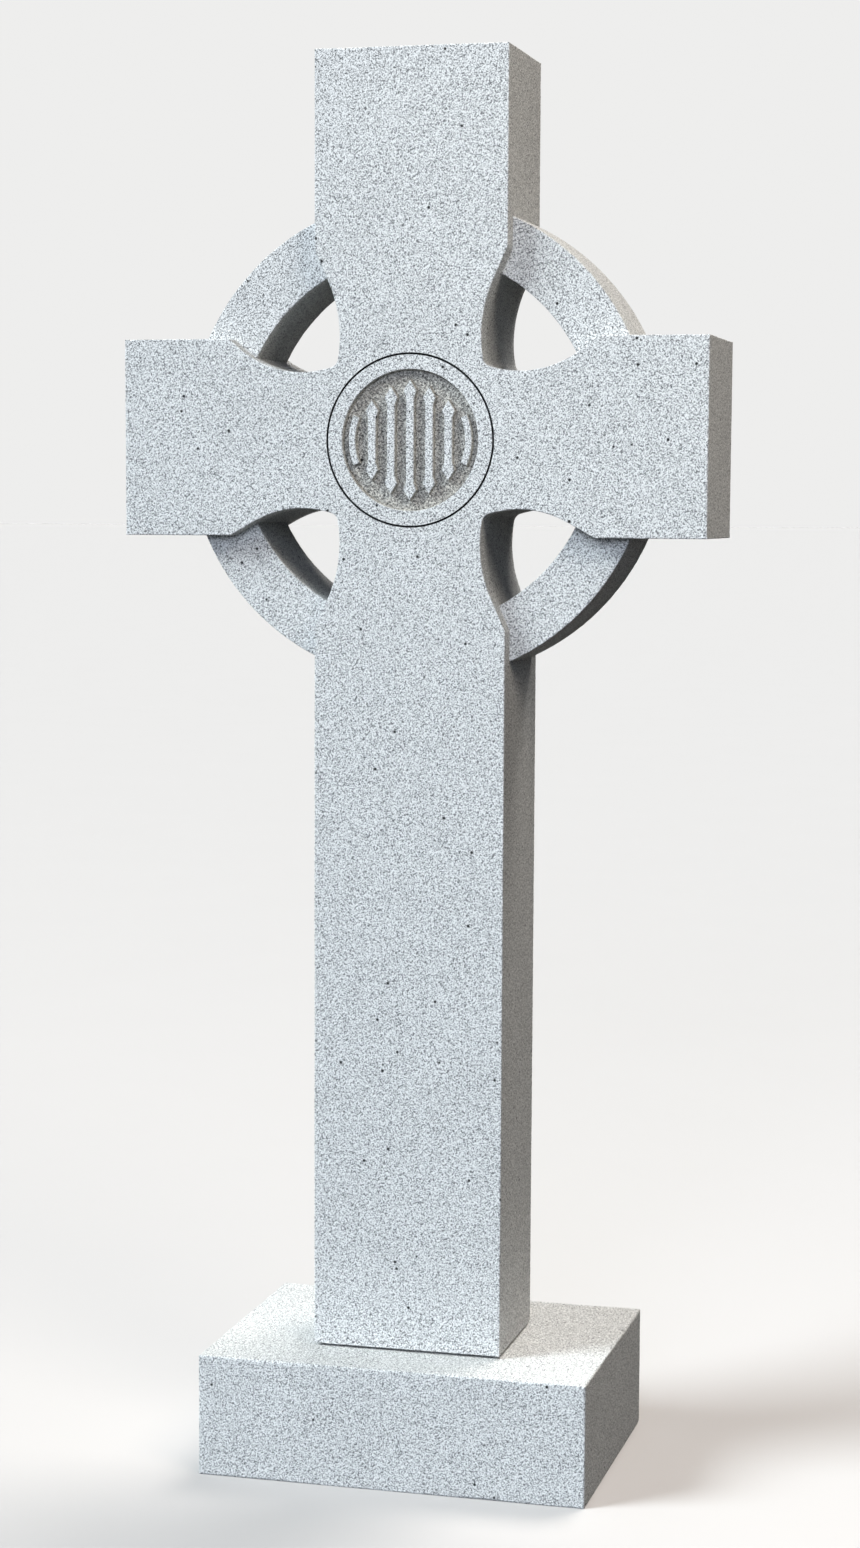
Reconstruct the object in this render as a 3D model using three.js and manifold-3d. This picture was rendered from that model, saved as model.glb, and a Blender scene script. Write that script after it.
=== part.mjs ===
// A ringed granite cross standing on its plinth, in millimetres, with +Z up.
// The origin is the middle of the plinth's underside, and the carved front faces -Y.
import * as THREE from 'three';
import { mergeVertices } from 'three/addons/utils/BufferGeometryUtils.js';
import Module from 'manifold-3d';

const wasm = await Module();
wasm.setup();

// Plinth
const plinthWidth = 515;
const plinthDepth = 374;
const plinthHeight = 160;

// Cross: one stone, set a little forward of the middle of the plinth
const crossThickness = 180;
const crossForward = 12;
const crossHeight = 1669.7;
const crossingHeight = 1183; // from the cross's foot to the middle of the ring
const armSpan = 762;
const armHeight = 250;
const armRise = 3.7; // the arms' ends sit this much higher than the middle of the ring
const shaftWidth = 251;

// Bed joint under the foot: a hair gap, with a raked-out edge that shows as a dark line
const bedGap = 0.3;
const rakeHeight = 3;
const rakeDepth = 8;

// Ring
const ringInnerRadius = 235.5;
const ringWidth = 70;
const ringDepth = 128;

// Waists: each limb narrows in an arc between the crossing and its shoulders
const shoulderPastRing = 3.5; // the shoulders stand this far outside the ring's inner edge
const armWaist = { reach: 142, width: 172, radius: 130 };
const shaftWaist = { reach: 130, width: 184.6, radius: 165 };
const waistCornerRadius = 12;

// Roundel at the crossing: a thin cut circle, a flush rim and a sunk field
const grooveRadius = 108.5;
const grooveWidth = 2.6;
const grooveDepth = 5;
const rimWidth = 18;
const fieldDepth = 9;
const wallDraft = 1.5; // how far the sunk field's walls and the strokes' sides lean

// Raised strokes in the sunk field
const strokeWidth = 9.5;
const strokeSink = 0.8; // how far the strokes' tops lie under the face
const strokePitch = 25;
const strokesEachSide = 2; // beside the one on the centre line
const strokeClear = 14; // from the middle stroke's tip to the field's edge
const strokeClearStep = 5; // how much more room the next stroke's tip has
const spearWidth = 16;
const spearLength = 22; // from the tip to the plain stroke
const spearPoint = 13; // from the tip to the widest place
const bowWidth = 8;
const bowClear = 9; // from a bow to the field's edge
const bowHalfAngle = THREE.MathUtils.degToRad(23);

// Sides to a full circle
const ringSides = 144;
const waistSides = 120;
const roundelSides = 96;

const overcut = 5; // how far a cutter stands out of what it cuts
const weldDistance = 1e-4; // points closer than this are one

const shoulderReach = ringInnerRadius + shoulderPastRing;
const frontY = -crossThickness / 2;
const fieldRadius = grooveRadius - grooveWidth / 2 - rimWidth;

// A closed geometry as a solid that can be cut and joined.
function solid(geometry) {
  const bare = geometry.clone();
  bare.deleteAttribute('normal');
  bare.deleteAttribute('uv');
  const merged = mergeVertices(bare, weldDistance);
  return new wasm.Manifold(new wasm.Mesh({
    numProp: 3,
    vertProperties: new Float32Array(merged.attributes.position.array),
    triVerts: new Uint32Array(merged.index.array),
  }));
}

function geometryOf(body) {
  const mesh = body.getMesh();
  const geometry = new THREE.BufferGeometry();
  geometry.setAttribute('position', new THREE.BufferAttribute(new Float32Array(mesh.vertProperties), 3));
  geometry.setIndex(new THREE.BufferAttribute(new Uint32Array(mesh.triVerts), 1));
  geometry.computeVertexNormals();
  return geometry;
}

// A front-view outline given its thickness: from y = front back to front + depth.
function slab(shape, front, depth, curveSegments = 1) {
  const geometry = new THREE.ExtrudeGeometry(shape, { depth, bevelEnabled: false, curveSegments });
  return geometry.rotateX(Math.PI / 2).translate(0, front + depth, 0);
}

function discShape(radius, sides) {
  return new THREE.Shape(new THREE.EllipseCurve(0, 0, radius, radius).getPoints(sides).slice(0, sides));
}

function annulusShape(inner, outer, sides) {
  const shape = discShape(outer, sides);
  shape.holes.push(discShape(inner, sides));
  return shape;
}

function arcPoints(centre, radius, from, to, sides) {
  const count = Math.max(2, Math.ceil((Math.abs(to - from) / (2 * Math.PI)) * sides));
  const arc = new THREE.EllipseCurve(centre.x, centre.y, radius, radius, from, to, to < from);
  return arc.getPoints(count);
}

// One limb's waist, with x out along the limb and y across it: an arc about the narrowest
// place, then a straight slope that leaves the arc smoothly and ends at the shoulder.
function waistArc(waist, limbWidth) {
  const run = shoulderReach - waist.reach;
  const rise = (limbWidth - waist.width) / 2;
  const radius = Math.min(waist.radius, (run * run + rise * rise) / (2 * rise));
  const centre = new THREE.Vector2(waist.reach, waist.width / 2 + radius);
  const shoulder = new THREE.Vector2(shoulderReach, limbWidth / 2);
  const away = shoulder.clone().sub(centre);
  const slopeAngle = Math.atan2(away.y, away.x) - Math.acos(Math.min(1, radius / away.length()));
  return { centre, radius, shoulder, slopeAngle };
}

function swapped(point) {
  return new THREE.Vector2(point.y, point.x);
}

// The point at the given distances from two centres, on the crossing's side of them.
function meetingPoint(a, distanceA, b, distanceB) {
  const span = a.distanceTo(b);
  const along = (distanceA ** 2 - distanceB ** 2 + span ** 2) / (2 * span);
  const off = Math.sqrt(Math.max(0, distanceA ** 2 - along ** 2));
  const unit = b.clone().sub(a).divideScalar(span);
  const foot = a.clone().addScaledVector(unit, along);
  const sideways = new THREE.Vector2(-unit.y, unit.x).multiplyScalar(off);
  const one = foot.clone().add(sideways);
  const other = foot.clone().sub(sideways);
  return one.length() < other.length() ? one : other;
}

// A quarter of the outline, drawn as the upper right one, from the arm's shoulder in to the
// corner at the crossing and up to the shaft's shoulder. The upper arm shoulders are further
// from the middle of the ring than the lower ones.
function quarterOutline(rise) {
  const arm = waistArc(armWaist, armHeight + 2 * rise);
  const shaft = waistArc(shaftWaist, shaftWidth);
  const shaftCentre = swapped(shaft.centre);
  const corner = meetingPoint(
    arm.centre, arm.radius - waistCornerRadius,
    shaftCentre, shaft.radius - waistCornerRadius,
  );
  const armEnd = corner.clone().sub(arm.centre).angle() - 2 * Math.PI;
  const shaftStart = corner.clone().sub(shaftCentre).angle();
  const shaftEnd = Math.PI / 2 - shaft.slopeAngle;
  return [
    arm.shoulder,
    ...arcPoints(arm.centre, arm.radius, arm.slopeAngle, armEnd, waistSides),
    ...arcPoints(corner, waistCornerRadius, armEnd + 2 * Math.PI, shaftStart, waistSides / 2).slice(1, -1),
    ...arcPoints(shaftCentre, shaft.radius, shaftStart, shaftEnd, waistSides),
    swapped(shaft.shoulder),
  ];
}

// The whole cross from the front, about the middle of the ring.
function crossOutline() {
  const upper = quarterOutline(armRise);
  const lower = quarterOutline(-armRise);
  const flip = (points, x, y) => points.map((p) => new THREE.Vector2(p.x * x, p.y * y));
  const top = crossHeight - crossingHeight;
  const armEnd = (side) => [
    new THREE.Vector2((side * armSpan) / 2, armRise - (side * armHeight) / 2),
    new THREE.Vector2((side * armSpan) / 2, armRise + (side * armHeight) / 2),
  ];
  return new THREE.Shape([
    ...armEnd(1),
    ...upper,
    new THREE.Vector2(shaftWidth / 2, top),
    new THREE.Vector2(-shaftWidth / 2, top),
    ...flip([...upper].reverse(), -1, 1),
    ...armEnd(-1),
    ...flip(lower, -1, -1),
    new THREE.Vector2(-shaftWidth / 2, -crossingHeight),
    new THREE.Vector2(shaftWidth / 2, -crossingHeight),
    ...flip([...lower].reverse(), 1, -1),
  ]);
}

// A raised stroke's solid: its outline at the top, leaning out to the floor of the field.
function raised(shape) {
  const height = fieldDepth - strokeSink;
  const geometry = new THREE.ExtrudeGeometry(shape, {
    depth: overcut,
    bevelEnabled: true,
    bevelThickness: height,
    bevelSize: wallDraft,
    bevelSegments: 1,
    curveSegments: 1,
  });
  return solid(geometry.rotateX(Math.PI / 2).translate(0, frontY + fieldDepth + overcut, 0));
}

// An upright stroke with a spear point at each end, reaching to a set distance from the field's edge.
function uprightStroke(x, clear) {
  const tip = Math.sqrt(fieldRadius ** 2 - x ** 2) - clear;
  const barb = tip - spearPoint;
  const neck = tip - spearLength;
  const side = (sign) => [
    new THREE.Vector2(x + (sign * strokeWidth) / 2, -sign * neck),
    new THREE.Vector2(x + (sign * strokeWidth) / 2, sign * neck),
    new THREE.Vector2(x + (sign * spearWidth) / 2, sign * barb),
    new THREE.Vector2(x, sign * tip),
    new THREE.Vector2(x - (sign * spearWidth) / 2, sign * barb),
  ];
  return raised(new THREE.Shape([...side(1), ...side(-1)]));
}

// A bow follows the field's edge on one side.
function bow(side) {
  const outer = fieldRadius - bowClear;
  const middle = side > 0 ? 0 : Math.PI;
  const centre = new THREE.Vector2();
  const [from, to] = [middle - bowHalfAngle, middle + bowHalfAngle];
  return raised(new THREE.Shape([
    ...arcPoints(centre, outer, from, to, roundelSides),
    ...arcPoints(centre, outer - bowWidth, to, from, roundelSides),
  ]));
}

// A row of upright strokes, shorter towards the sides, between two bows.
function strokes() {
  const pieces = [bow(-1), bow(1), uprightStroke(0, strokeClear)];
  for (let i = 1; i <= strokesEachSide; i += 1) {
    const clear = strokeClear + i * strokeClearStep;
    pieces.push(uprightStroke(-i * strokePitch, clear), uprightStroke(i * strokePitch, clear));
  }
  return pieces.reduce((all, piece) => all.add(piece));
}

// What is cut away in front of the roundel's field, leaving the strokes standing.
function fieldCut() {
  const lean = (overcut / fieldDepth) * wallDraft;
  const depth = fieldDepth + overcut;
  const cutter = new THREE.CylinderGeometry(fieldRadius - wallDraft, fieldRadius + lean, depth, roundelSides);
  return solid(cutter.translate(0, frontY - overcut + depth / 2, 0)).subtract(strokes());
}

function grooveCut() {
  const shape = annulusShape(grooveRadius - grooveWidth / 2, grooveRadius + grooveWidth / 2, roundelSides);
  return solid(slab(shape, frontY - overcut, overcut + grooveDepth));
}

// The strip raked out of the bed joint, all round the foot.
function rakeCut() {
  const height = rakeHeight + overcut;
  const outer = new THREE.BoxGeometry(shaftWidth + 2 * overcut, crossThickness + 2 * overcut, height);
  const inner = new THREE.BoxGeometry(shaftWidth - 2 * rakeDepth, crossThickness - 2 * rakeDepth, 2 * height);
  const middle = rakeHeight - crossingHeight - height / 2;
  return solid(outer.translate(0, 0, middle)).subtract(solid(inner.translate(0, 0, middle)));
}

// The cross about the middle of its ring.
function crossGeometry() {
  const ring = slab(
    annulusShape(ringInnerRadius, ringInnerRadius + ringWidth, ringSides),
    -ringDepth / 2,
    ringDepth,
  );
  const stone = solid(slab(crossOutline(), frontY, crossThickness)).add(solid(ring));
  return geometryOf(stone.subtract(fieldCut()).subtract(grooveCut()).subtract(rakeCut()));
}

const crossStone = new THREE.MeshStandardMaterial({ color: 0xc8ced2, roughness: 0.82, metalness: 0 });
const plinthStone = new THREE.MeshStandardMaterial({ color: 0xcdd0d1, roughness: 0.86, metalness: 0 });

const cross = new THREE.Mesh(crossGeometry(), crossStone);
cross.name = 'cross';
cross.position.set(0, -crossForward, plinthHeight + bedGap + crossingHeight);

const plinth = new THREE.Mesh(new THREE.BoxGeometry(plinthWidth, plinthDepth, plinthHeight), plinthStone);
plinth.name = 'plinth';
plinth.position.set(0, 0, plinthHeight / 2);

const memorial = new THREE.Group();
memorial.add(plinth, cross);

export default memorial;
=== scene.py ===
# Granite ringed cross on its plinth: worn arrises, granite, soft studio light.
import math

import bmesh
import bpy
from mathutils import Matrix, Vector, noise


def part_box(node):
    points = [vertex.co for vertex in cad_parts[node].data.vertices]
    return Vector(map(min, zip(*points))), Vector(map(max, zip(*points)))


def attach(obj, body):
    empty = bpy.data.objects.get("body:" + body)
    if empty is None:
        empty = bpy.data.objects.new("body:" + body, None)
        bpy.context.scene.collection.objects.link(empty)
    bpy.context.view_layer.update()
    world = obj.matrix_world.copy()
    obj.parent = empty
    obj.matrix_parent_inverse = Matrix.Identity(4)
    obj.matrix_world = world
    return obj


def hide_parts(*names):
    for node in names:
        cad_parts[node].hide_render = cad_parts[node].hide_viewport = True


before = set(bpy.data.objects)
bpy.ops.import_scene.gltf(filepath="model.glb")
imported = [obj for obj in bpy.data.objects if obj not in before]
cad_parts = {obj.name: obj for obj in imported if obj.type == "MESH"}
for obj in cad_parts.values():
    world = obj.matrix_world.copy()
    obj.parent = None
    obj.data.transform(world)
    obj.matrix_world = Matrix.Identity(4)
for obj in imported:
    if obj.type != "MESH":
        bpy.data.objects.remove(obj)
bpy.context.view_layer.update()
print("frame loaded")

# Places on the cross, in metres
crossLow, crossHigh = (Vector(corner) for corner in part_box("cross"))

roundel = {
    "centre": Vector((0, crossLow.y, 1.3433)),
    "fieldRadius": 0.0892,
    "grooveRadius": 0.1085,
    "grooveWidth": 0.0026,
    "reach": 0.1125,  # everything carved lies inside this radius
    "depth": 0.03,    # and less deep than this
}


class Wire:
    # A shader socket that can be used in sums: each operator adds a Math node
    def __init__(self, tree, socket):
        self.tree = tree
        self.socket = socket

    def math(self, operation, *values):
        node = self.tree.nodes.new("ShaderNodeMath")
        node.operation = operation
        for entry, value in zip(node.inputs, values):
            join(self.tree, value, entry)
        return Wire(self.tree, node.outputs[0])

    def __add__(self, other):
        return self.math("ADD", self, other)

    def __radd__(self, other):
        return self.math("ADD", other, self)

    def __sub__(self, other):
        return self.math("SUBTRACT", self, other)

    def __rsub__(self, other):
        return self.math("SUBTRACT", other, self)

    def __mul__(self, other):
        return self.math("MULTIPLY", self, other)

    def __rmul__(self, other):
        return self.math("MULTIPLY", other, self)

    def __lt__(self, other):
        return self.math("LESS_THAN", self, other)

    def __gt__(self, other):
        return self.math("GREATER_THAN", self, other)


def join(tree, value, entry):
    if isinstance(value, Wire):
        tree.links.new(value.socket, entry)
    else:
        entry.default_value = value


# The Mix node's sockets when it mixes colours
mixSockets = {"factor": 0, "first": 6, "second": 7, "result": 2}


class Finish:
    # A material under construction
    def __init__(self, name):
        self.material = bpy.data.materials.new(name)
        self.material.use_nodes = True
        self.tree = self.material.node_tree
        self.tree.nodes.clear()

    def add(self, kind, settings=None, values=None, out=0):
        node = self.tree.nodes.new("ShaderNode" + kind)
        for key, setting in (settings or {}).items():
            setattr(node, key, setting)
        for key, value in (values or {}).items():
            join(self.tree, value, node.inputs[key])
        return Wire(self.tree, node.outputs[out])

    def place(self):
        return self.add("TexCoord", out="Object")

    def noiseAt(self, place, scale, detail=2, roughness=0.5):
        values = {"Vector": place, "Scale": scale, "Detail": detail, "Roughness": roughness}
        return self.add("TexNoise", None, values, out="Fac")

    def mixColour(self, factor, first, second, blend="MIX"):
        node = self.tree.nodes.new("ShaderNodeMix")
        node.data_type = "RGBA"
        node.blend_type = blend
        for key, value in (("factor", factor), ("first", first), ("second", second)):
            join(self.tree, value, node.inputs[mixSockets[key]])
        return Wire(self.tree, node.outputs[mixSockets["result"]])

    def ramp(self, value, low, high):
        settings = {"interpolation_type": "SMOOTHSTEP"}
        return self.add("MapRange", settings, {"Value": value, "From Min": low, "From Max": high})

    def finish(self, surface):
        output = self.tree.nodes.new("ShaderNodeOutputMaterial")
        self.tree.links.new(surface.socket, output.inputs["Surface"])
        return self.material


def grey(value, warmth=0.0):
    return (value * (1 + warmth), value, value * (1 - warmth), 1)


# Where the stone's finish changes, and where painted shade lies in it: depths behind the cross's front,
# distances before its back, and radii round the roundel's centre
zones = {
    "fieldStart": (0.0015, 0.006),  # depths over which the roundel's field begins
    "fieldMargin": 0.001,           # how far past the field's edge its finish reaches
    "frontDepth": 0.02,             # the roundel is less deep than this, and the ring deeper
    "wallRadius": 0.2365,           # just outside the walls of the four openings
    "wallStart": (0.014, 0.05),     # depths over which the painted shade on those walls deepens
    "wallEnd": (0.020, 0.004),      # distances before the back over which that painted shade fades again
    "ringRadius": 0.31,             # just outside the ring
}

# Lengths are in metres. An edge is where a pattern's noise passes from one look to the next.
graniteLook = {
    "turn": (0.7, 0.5, 0.3),  # turns the pattern, so that no flat face lies along it
    "grain": 0.0018,          # width of the larger crystals
    "grainDetail": 1.6,
    "grainRoughness": 0.75,
    "grainEdge": (0.32, 0.60),
    "pale": (0.784, 0.784, 0.764, 1),
    "middle": grey(0.19, -0.010),
    "mica": grey(0.07, -0.010),
    "micaCell": 0.0022,
    "micaEdge": (0.60, 0.76),
    "micaCover": 0.85,
    "speck": grey(0.02, 0.02),
    "speckCell": 0.026,
    "speckEdge": (0.055, 0.095),
    "speckShare": 0.5,        # share of the cells that hold a speck
    "pitScale": 300,
    "pitEdge": (0.40, 0.56),
    # how much painted shade darkens the pits
    "pitShade": 0.45,
    "cloudScale": 9,
    "cloudLow": 0.95,
    "cloudSwing": 0.10,
    "fieldTone": 0.80,        # the sunk field is left darker from the point
    "fieldRed": 0.05,         # and it is this much redder
    "fieldBlue": 0.08,        # and this much less blue
    "openingShadeTone": 0.62,         # painted shade inside the four openings
    "roughness": 0.9,
    "micaShine": 0.25,        # what the mica takes from the roughness
    "specular": 0.3,
}

# The height of the grain in metres, each pattern's part in it, and how much of it each place has
reliefLook = {
    "height": 0.0003,
    "grain": 0.6,
    "fine": 0.6,
    "mica": 0.5,
    "pit": 2.5,
    "everywhere": 0.30,
    "field": 0.55,
    "ringFace": 0.25,
}


def graniteZones(f, place):
    # Masks that are 1 in the roundel's field, on the walls of the openings, where shade is painted, and on
    # the ring's face
    x, y, z = (f.add("SeparateXYZ", None, {"Vector": place}, out=axis) for axis in "XYZ")
    across = f.add("CombineXYZ", None, {"X": x, "Z": z - roundel["centre"].z})
    radius = f.add("VectorMath", {"operation": "LENGTH"}, {0: across}, out="Value")
    sunk = f.ramp(y, *(crossLow.y + depth for depth in zones["fieldStart"]))
    front = y < crossLow.y + zones["frontDepth"]
    field = (radius < roundel["fieldRadius"] + zones["fieldMargin"]) * sunk * front
    near = radius < zones["wallRadius"]
    openingShade = near * f.ramp(y, *(crossLow.y + depth for depth in zones["wallStart"]))
    openingShade = openingShade * (1 - f.ramp(y, *(crossHigh.y - depth for depth in zones["wallEnd"])))
    ringFace = (radius < zones["ringRadius"]) * (y > crossLow.y + zones["frontDepth"]) * (1 - near)
    return field, openingShade, ringFace


def blackSpecks(f, turned, look):
    cells = {"Vector": turned, "Scale": 1 / look["speckCell"], "Randomness": 1}
    away = f.add("TexVoronoi", {"feature": "F1"}, cells, out="Distance")
    pick = f.add("TexVoronoi", {"feature": "F1"}, cells, out="Color")
    kind = f.add("SeparateColor", None, {"Color": pick}, out="Blue")
    return (1 - f.ramp(away, *look["speckEdge"])) * (kind < look["speckShare"])


def granite(name, look, relief, shade=1.0):
    f = Finish(name)
    place = f.place()
    field, openingShade, ringFace = graniteZones(f, place)

    # Pale and grey crystals run together at their edges, with dark mica flecks among them and now
    # and then a black speck
    turned = f.add("Mapping", None, {"Vector": place, "Rotation": look["turn"]})
    fine = f.noiseAt(turned, 1 / look["grain"], look["grainDetail"], look["grainRoughness"])
    grain = f.ramp(fine, *look["grainEdge"])
    mica = f.ramp(f.noiseAt(turned, 1 / look["micaCell"], detail=0), *look["micaEdge"])
    speck = blackSpecks(f, turned, look)

    # The field keeps the marks of the point: pits between warm crumbs, with painted shade darkening the
    # pits
    pitted = field * (1 - f.ramp(f.noiseAt(place, look["pitScale"]), *look["pitEdge"]))

    # Broad, faint clouds in the stone
    cloud = f.noiseAt(place, look["cloudScale"], detail=3)
    dim = shade * (look["cloudLow"] + look["cloudSwing"] * cloud)
    # The field is left darker, and the walls of the openings get painted shade, deepest midway through the
    # ring
    dim = dim * (1 - (1 - look["fieldTone"]) * field) * (1 - (1 - look["openingShadeTone"]) * openingShade)
    # Painted shade in the pits of the field
    dim = dim * (1 - look["pitShade"] * pitted)

    colour = f.mixColour(grain, look["middle"], look["pale"])
    colour = f.mixColour(mica * look["micaCover"], colour, look["mica"])
    colour = f.mixColour(speck, colour, look["speck"])
    red = dim * (1 + look["fieldRed"] * field)
    blue = dim * (1 - look["fieldBlue"] * field)
    tint = f.add("CombineColor", None, {"Red": red, "Green": dim, "Blue": blue})
    colour = f.mixColour(1.0, colour, tint, "MULTIPLY")

    height = grain * relief["grain"] + fine * relief["fine"]
    height = height - mica * relief["mica"] - pitted * relief["pit"]
    share = relief["everywhere"] + relief["field"] * field + relief["ringFace"] * ringFace
    raised = {"Height": height * share, "Strength": 1.0, "Distance": relief["height"]}
    return f.finish(f.add("BsdfPrincipled", None, {
        "Base Color": colour,
        "Roughness": look["roughness"] - look["micaShine"] * mica,
        "Specular IOR Level": look["specular"],
        "Normal": f.add("Bump", None, raised),
    }))


darkLook = {
    # painted shade: the groove is painted near black
    "grooveShadeTone": 0.012,
    # painted shade: the joint under the foot is painted dark
    "jointShadeTone": 0.05,
    "spread": (0.6, 1.4),  # shares of the tone that the patches run between
    "patchScale": 160,
    "roughness": 0.7,
    "patchRoughness": 0.2,
    "specular": 0.2,
}


def dark(name, value):
    f = Finish(name)
    patch = f.noiseAt(f.place(), darkLook["patchScale"])
    darkest, lightest = (grey(value * share) for share in darkLook["spread"])
    colour = f.mixColour(patch, darkest, lightest)
    return f.finish(f.add("BsdfPrincipled", None, {
        "Base Color": colour,
        "Roughness": darkLook["roughness"] + darkLook["patchRoughness"] * patch,
        "Specular IOR Level": darkLook["specular"],
    }))


weldDistance = 1e-6
flatAngle = math.radians(0.4)   # faces that turn less than this are one
sharpAngle = math.radians(24)   # edges that turn more than this are eased
smoothAngle = math.radians(32)  # edges that turn less than this are shaded smooth
rimAngle = math.radians(6)      # the same, between an arris and a flat face
arrisSegments = 2


def everything(bm):
    return bm.verts[:] + bm.edges[:] + bm.faces[:]


def sharpEdges(bm, test):
    joined = [edge for edge in bm.edges if len(edge.link_faces) == 2]
    return [edge for edge in joined if edge.calc_face_angle_signed(0) > sharpAngle and test(edge)]


def roundelDistance(point):
    return math.hypot(point.x - roundel["centre"].x, point.z - roundel["centre"].z)


def carved(edge):
    # True for the edges of the roundel's field, strokes and groove
    near = all(roundelDistance(v.co) < roundel["reach"] for v in edge.verts)
    return near and all(v.co.y < roundel["centre"].y + roundel["depth"] for v in edge.verts)


def inGroove(point):
    return abs(roundelDistance(point) - roundel["grooveRadius"]) < roundel["grooveWidth"]


def ease(bm, edges, width, layer):
    made = bmesh.ops.bevel(bm, geom=edges, offset=width, offset_type="OFFSET", segments=arrisSegments,
                           profile=0.5, affect="EDGES", material=-1, clamp_overlap=True)
    for face in made["faces"]:
        face[layer] = 1


def cutAcross(bm, low, high, spacing):
    # Cuts all faces on an even grid, so that the long arrises have points to wear
    for axis in range(3):
        across = Vector([1.0 if i == axis else 0.0 for i in range(3)])
        count = int((high[axis] - low[axis]) / spacing)
        for i in range(1, count):
            co = across * (low[axis] + (high[axis] - low[axis]) * i / count)
            bmesh.ops.bisect_plane(bm, geom=everything(bm), dist=weldDistance, plane_co=co, plane_no=across)


wearLook = {
    "mean": 0.5,                     # the waver and the nicks swing about this share
    "nickShift": Vector((7, 3, 1)),  # the shifts keep the three patterns apart
    "chipShift": Vector((1, 9, 5)),
    "middleShare": 0.41,             # how far the middle of an arris moves, as a share of its sides
    "leastArea": 1e-10,              # a smaller face has no sure direction
    "leastFacing": 0.75,             # a face that turns past this cosine has folded over
    "tries": 8,
    "shorten": 0.45,
}


def wearMoves(bm, layer, look):
    # The eased arrises widen and narrow a little and carry small chips; the faces stay flat
    moves = {}
    for vert in bm.verts:
        worn = [face.normal for face in vert.link_faces if face[layer]]
        if not worn or roundelDistance(vert.co) < roundel["reach"]:
            continue
        slow = wearLook["mean"] + noise.noise(vert.co / look["waverLength"])
        quick = wearLook["mean"] + noise.noise(vert.co / look["nickLength"] + wearLook["nickShift"])
        loose = noise.noise(vert.co / look["chipLength"] + wearLook["chipShift"])
        chip = max(0.0, loose - look["chipRarity"])
        wider = max(0.0, look["waver"] * slow + look["nick"] * quick + look["chip"] * chip)
        pull = -sum(worn, Vector())
        beside = [face.normal for face in vert.link_faces if not face[layer]]
        for normal in beside:
            pull -= normal * pull.dot(normal)
        if pull.length > weldDistance:
            moves[vert] = pull.normalized() * wider * (1.0 if beside else wearLook["middleShare"])
    return moves


def wear(bm, layer, look):
    # Moves the points, and moves them less wherever a face would fold over
    bm.normal_update()
    moves = wearMoves(bm, layer, look)
    placed = {vert: vert.co.copy() for vert in moves}
    beside = {face for vert in moves for face in vert.link_faces}
    facing = {face: face.normal.copy() for face in beside if face.calc_area() > wearLook["leastArea"]}
    lastTry = wearLook["tries"] - 1
    for attempt in range(wearLook["tries"]):
        for vert, move in moves.items():
            vert.co = placed[vert] + move
        folded = set()
        for face, before in facing.items():
            face.normal_update()
            if face.normal.dot(before) < wearLook["leastFacing"]:
                folded.update(vert for vert in face.verts if vert in moves)
        for vert in folded:
            moves[vert] = moves[vert] * (wearLook["shorten"] if attempt < lastTry else 0)


def dressed(name, look):
    # A copy of the node with its arrises eased and worn
    bm = bmesh.new()
    bm.from_mesh(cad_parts[name].data)
    bmesh.ops.remove_doubles(bm, verts=bm.verts[:], dist=weldDistance)
    bmesh.ops.dissolve_limit(bm, angle_limit=flatAngle, verts=bm.verts[:], edges=bm.edges[:])
    layer = bm.faces.layers.int.new("arris")
    ease(bm, sharpEdges(bm, lambda e: not carved(e)), look["arris"], layer)
    if "carvedArris" in look:
        soft = sharpEdges(bm, lambda e: carved(e) and not inGroove(e.verts[0].co))
        ease(bm, soft, look["carvedArris"], layer)
    cutAcross(bm, *(Vector(corner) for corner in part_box(name)), look["spacing"])
    worn = {edge for face in bm.faces if face[layer] for edge in face.edges}
    longEdges = [e for e in bm.edges if e in worn and e.calc_length() > look["step"]]
    bmesh.ops.subdivide_edges(bm, edges=longEdges, cuts=2, use_grid_fill=True)
    bmesh.ops.triangulate(bm, faces=[f for f in bm.faces if len(f.verts) > 4 or not f[layer]])
    wear(bm, layer, look)
    return bm


def piece(name, bm, materials, node, pickMaterial=None):
    layer = bm.faces.layers.int["arris"]
    for face in bm.faces:
        face.smooth = True
        face.material_index = pickMaterial(face) if pickMaterial else 0
    bm.normal_update()
    for edge in bm.edges:
        kinds = {face[layer] for face in edge.link_faces}
        edge.smooth = edge.calc_face_angle(0) < (smoothAngle if len(kinds) == 1 else rimAngle)
    mesh = bpy.data.meshes.new(name)
    bm.to_mesh(mesh)
    bm.free()
    for material in materials:
        mesh.materials.append(material)
    made = bpy.data.objects.new(name, mesh)
    bpy.context.collection.objects.link(made)
    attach(made, "root")
    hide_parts(node)
    print(name, "made,", len(mesh.polygons), "faces")


crossLook = {
    "arris": 0.0008,
    "carvedArris": 0.0004,
    "spacing": 0.011,
    "step": 0.007,
    "waver": 0.0006, "waverLength": 0.05,
    "nick": 0.0012, "nickLength": 0.006,
    "chip": 0.006, "chipLength": 0.016, "chipRarity": 0.42,
    "grooveDepths": (0.0001, 0.01),  # the groove is painted black between these, as painted shade in the narrow cut
    "jointHeight": 0.0029,           # the raked joint under the foot is painted dark up to here, as painted shade in the gap
}

plinthLook = {
    "arris": 0.0008,
    "spacing": 0.011,
    "step": 0.007,
    "waver": 0.0016, "waverLength": 0.05,
    "nick": 0.0012, "nickLength": 0.006,
    "chip": 0.006, "chipLength": 0.014, "chipRarity": 0.44,
    "shade": 1.02,
}


def crossSurface(face):
    # Which of the cross's materials a face has: 0 granite, 1 the groove painted black as painted shade, 2
    # the joint painted dark as painted shade
    middle = face.calc_center_median()
    least, most = crossLook["grooveDepths"]
    if inGroove(middle) and crossLow.y + least < middle.y < crossLow.y + most:
        return 1
    if middle.z < crossLow.z + crossLook["jointHeight"]:
        return 2
    return 0


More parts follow.
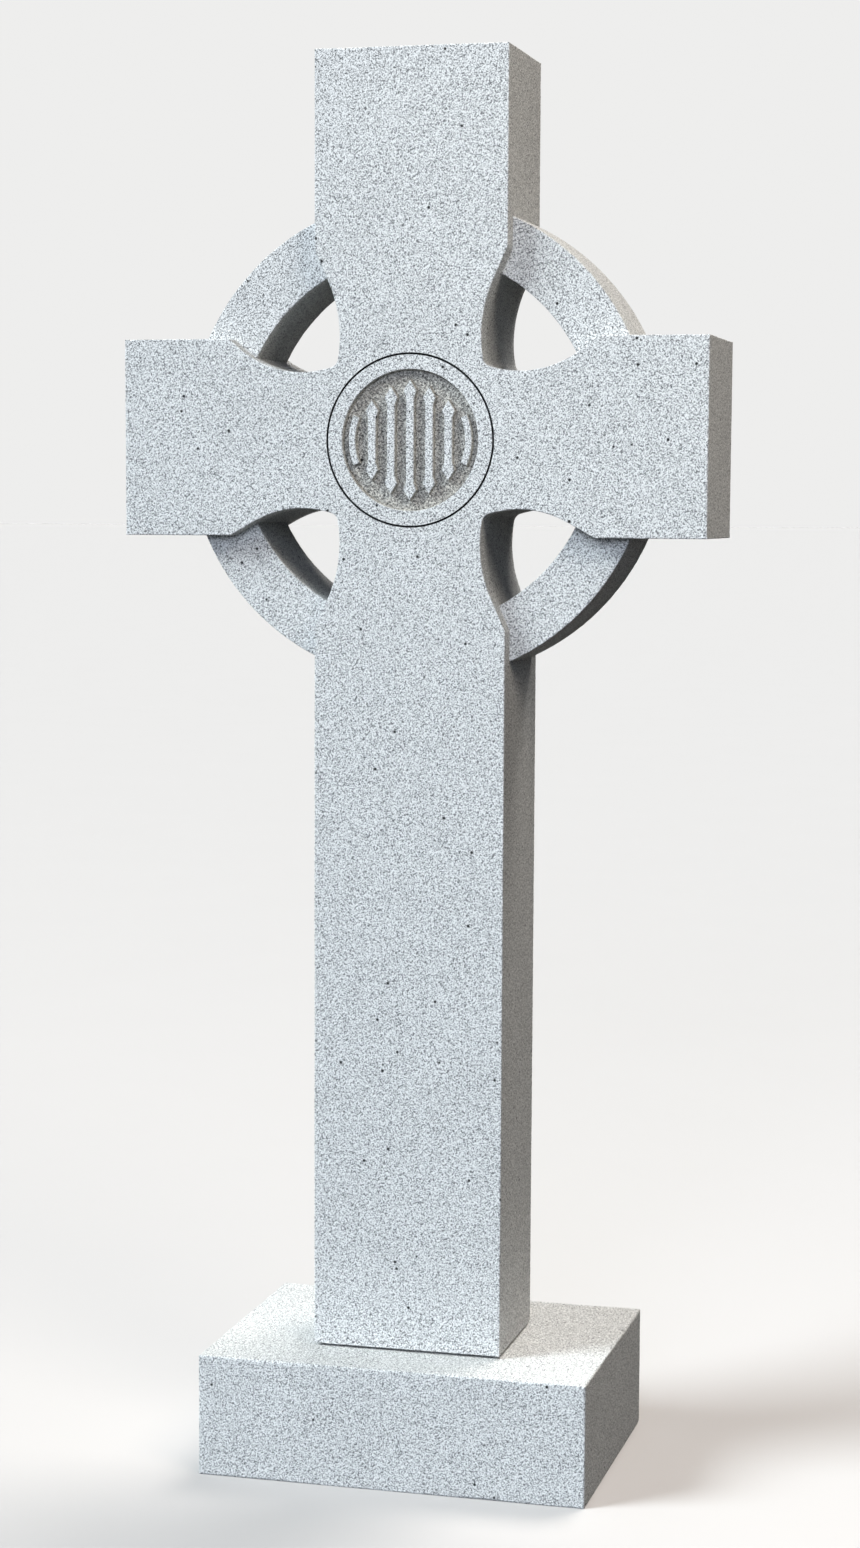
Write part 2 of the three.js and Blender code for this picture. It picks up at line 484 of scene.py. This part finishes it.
crossGranite = granite("crossGranite", graniteLook, reliefLook)
plinthGranite = granite("plinthGranite", graniteLook, reliefLook, plinthLook["shade"])
# Painted shade: the groove is painted near black
grooveShadeBlack = dark("grooveShadeBlack", darkLook["grooveShadeTone"])
# Painted shade: the joint under the foot is painted dark
jointShadeDark = dark("jointShadeDark", darkLook["jointShadeTone"])

crossBm = dressed("cross", crossLook)
crossMaterials = [crossGranite, grooveShadeBlack, jointShadeDark]
piece("ringedCross", crossBm, crossMaterials, "cross", crossSurface)
plinthBm = dressed("plinth", plinthLook)
piece("plinthBlock", plinthBm, [plinthGranite], "plinth")


studio = {
    "floorRadius": 400.0,
    "floorSides": 96,
    "floorTone": (0.539, 0.515, 0.502, 1),
    "floorDim": 0.985,                    # the floor's faint patches have this share of its tone
    "floorPatch": 2.5,
    "floorRoughness": 0.9,
    "seenSky": (0.855, 0.853, 0.846, 1),  # the backdrop as the camera sees it
    "sky": (0.040, 0.039, 0.037, 1),      # the light from all round, above the horizon
    "horizon": 0.02,                      # how far it fades in there, as a sine
    "softness": 26,                       # degrees that each far light is wide
}

# Where each light comes from, and what it gives a white surface that faces it. A light with
# a reach stands at that place itself, is dimmer farther off, and gives that much at its reach.
lights = {
    "keyLight": {"from": (-0.66, -0.42, 0.62), "light": (1.12, 1.26, 1.34)},
    "frontLight": {"from": (0.08, -0.95, 0.20), "light": (0.43, 0.48, 0.57)},
    "rightLight": {"from": (1.9, -1.6, 3.4), "light": (0.37, 0.335, 0.295), "reach": 3.5, "wide": 1.4},
    "backLight": {"from": (0.16, 0.38, 0.90), "light": (0.81, 0.78, 0.74)},
    "rearLight": {"from": (-0.35, 0.93, 0.10), "light": (0.30, 0.31, 0.32)},
}


def floor():
    f = Finish("paleFloor")
    tone = studio["floorTone"]
    dimmer = tuple(c * studio["floorDim"] for c in tone[:3]) + (1,)
    material = f.finish(f.add("BsdfPrincipled", None, {
        "Base Color": f.mixColour(f.noiseAt(f.place(), studio["floorPatch"]), dimmer, tone),
        "Roughness": studio["floorRoughness"],
        "Specular IOR Level": 0.0,
    }))
    bm = bmesh.new()
    bmesh.ops.create_circle(bm, cap_ends=True, radius=studio["floorRadius"], segments=studio["floorSides"])
    mesh = bpy.data.meshes.new("floor")
    bm.to_mesh(mesh)
    bm.free()
    mesh.materials.append(material)
    made = bpy.data.objects.new("floor", mesh)
    made.visible_diffuse = False  # the floor is lit and shadowed, but throws no light back up
    bpy.context.collection.objects.link(made)


def softLight(name, light):
    brightest = max(light["light"])
    place = Vector(light["from"])
    if "reach" in light:
        data = bpy.data.lights.new(name, "AREA")
        data.shape = "DISK"
        data.size = light["wide"]
        data.energy = brightest * (math.pi * light["reach"]) ** 2
        aim = place - Vector((0, 0, (crossLow.z + crossHigh.z) / 2))
    else:
        data = bpy.data.lights.new(name, "SUN")
        data.angle = math.radians(studio["softness"])
        data.energy = brightest * math.pi
        aim = place
    data.color = [value / brightest for value in light["light"]]
    made = bpy.data.objects.new(name, data)
    made.location = place
    made.rotation_euler = aim.to_track_quat("Z", "Y").to_euler()
    bpy.context.collection.objects.link(made)


def sky():
    world = bpy.data.worlds.new("studio")
    bpy.context.scene.world = world
    world.use_nodes = True
    tree = world.node_tree
    tree.nodes.clear()
    towards = tree.nodes.new("ShaderNodeTexCoord")
    split = tree.nodes.new("ShaderNodeSeparateXYZ")
    ramp = tree.nodes.new("ShaderNodeValToRGB")
    tree.links.new(towards.outputs["Generated"], split.inputs[0])
    tree.links.new(split.outputs["Z"], ramp.inputs["Fac"])
    below, above = ramp.color_ramp.elements
    below.position, below.color = 0.0, (0, 0, 0, 1)
    above.position, above.color = studio["horizon"], studio["sky"]
    lit = tree.nodes.new("ShaderNodeBackground")
    tree.links.new(ramp.outputs["Color"], lit.inputs["Color"])
    seen = tree.nodes.new("ShaderNodeBackground")
    seen.inputs["Color"].default_value = studio["seenSky"]
    ray = tree.nodes.new("ShaderNodeLightPath")
    either = tree.nodes.new("ShaderNodeMixShader")
    tree.links.new(ray.outputs["Is Camera Ray"], either.inputs[0])
    tree.links.new(lit.outputs[0], either.inputs[1])
    tree.links.new(seen.outputs[0], either.inputs[2])
    output = tree.nodes.new("ShaderNodeOutputWorld")
    tree.links.new(either.outputs[0], output.inputs["Surface"])


floor()
sky()
for name, light in lights.items():
    softLight(name, light)
bpy.context.scene.view_settings.view_transform = "Standard"
print("studio lit")


camera = {
    "place": Vector((0.9765, -3.7076, 1.2596)),
    "turn": Vector((0.1152, 0.2535, 0.0199)),  # along the axis, and as long as the angle
    "focal": 2930.06,                          # this and the next two in pixels of the photo
    "middle": (440.0, 850.0),
    "frame": (860, 1548),
    "sensorHeight": 36,                        # in millimetres
    "farthest": 200,
}


def takeView():
    lens = bpy.data.cameras.new("camera")
    made = bpy.data.objects.new("camera", lens)
    turn = camera["turn"]
    base = Matrix(((1, 0, 0), (0, 0, -1), (0, 1, 0)))
    seen = Matrix.Rotation(turn.length, 3, turn.normalized()) @ base  # rows: right, down and forward
    toWorld = Matrix((seen[0], -seen[1], -seen[2])).transposed()
    made.matrix_world = Matrix.Translation(camera["place"]) @ toWorld.to_4x4()
    width, height = camera["frame"]
    lens.sensor_fit = "VERTICAL"
    lens.sensor_height = camera["sensorHeight"]
    lens.lens = camera["focal"] / height * camera["sensorHeight"]
    lens.shift_x = (width / 2 - camera["middle"][0]) / height
    lens.shift_y = (camera["middle"][1] - height / 2) / height
    lens.clip_end = camera["farthest"]
    bpy.context.collection.objects.link(made)
    bpy.context.scene.camera = made


takeView()
print("camera set")
